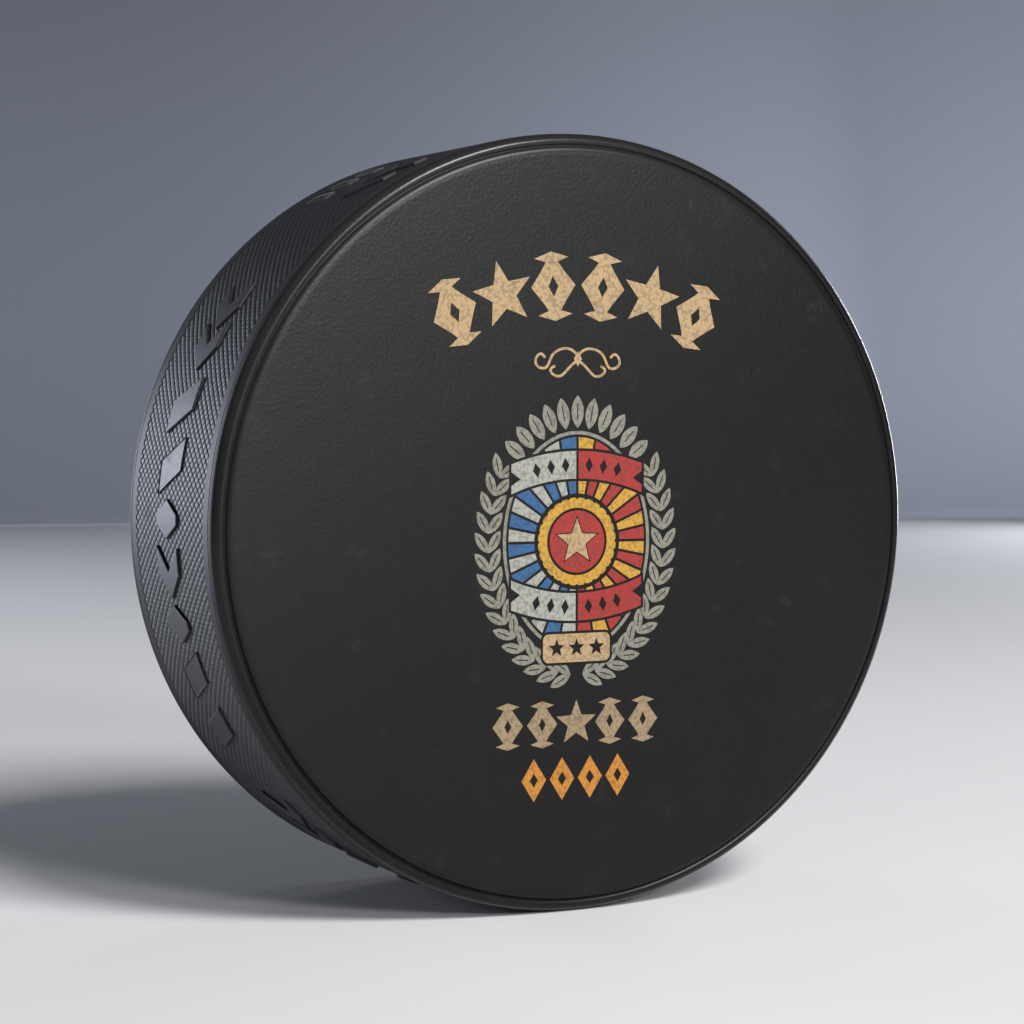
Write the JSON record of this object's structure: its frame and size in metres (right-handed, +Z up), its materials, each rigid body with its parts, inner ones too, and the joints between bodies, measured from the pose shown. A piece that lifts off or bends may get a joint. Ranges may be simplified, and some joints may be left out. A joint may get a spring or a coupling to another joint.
{
  "type": "hockey puck",
  "caption": "Solid rubber disc with a finely knurled edge band, smooth raised pads on the band, beaded rims and a printed emblem on one face.",
  "frame": {"origin": "on the floor line under the puck's middle, standing on its rim: centre of the bounding box's bottom", "axes": "+Z up along the print's upright, +Y along the puck's axis from the printed face to the blank face, +X to the right of a viewer facing the print"},
  "size_m": [0.0767, 0.0254, 0.0762],
  "materials": {
    "rubber": "fine pebbled grain on the faces, knurled edge band",
    "ink_cream": "thin matt printing ink",
    "ink_tan": "thin matt printing ink",
    "ink_orange": "thin matt printing ink",
    "ink_stone": "thin matt printing ink",
    "ink_blue": "thin matt printing ink",
    "ink_white": "thin matt printing ink",
    "ink_red": "thin matt printing ink",
    "ink_gold": "thin matt printing ink"
  },
  "bodies": {
    "root": {"puck_body": "rubber", "print_arch_ornaments": "ink_cream", "print_flourish": "ink_cream", "print_lower_row": "ink_tan", "print_base_row": "ink_orange", "emblem_wreath": "ink_stone", "emblem_crest": "ink_stone", "emblem_border": "ink_stone", "emblem_ribbons_white": "ink_white", "emblem_ribbons_red": "ink_red", "emblem_plate": "ink_cream", "emblem_rays_blue": "ink_blue", "emblem_rays_white": "ink_white", "emblem_rays_red": "ink_red", "emblem_rays_gold": "ink_gold", "emblem_ring": "ink_gold", "emblem_boss": "ink_red", "emblem_star": "ink_cream"}
  },
  "joints": []
}
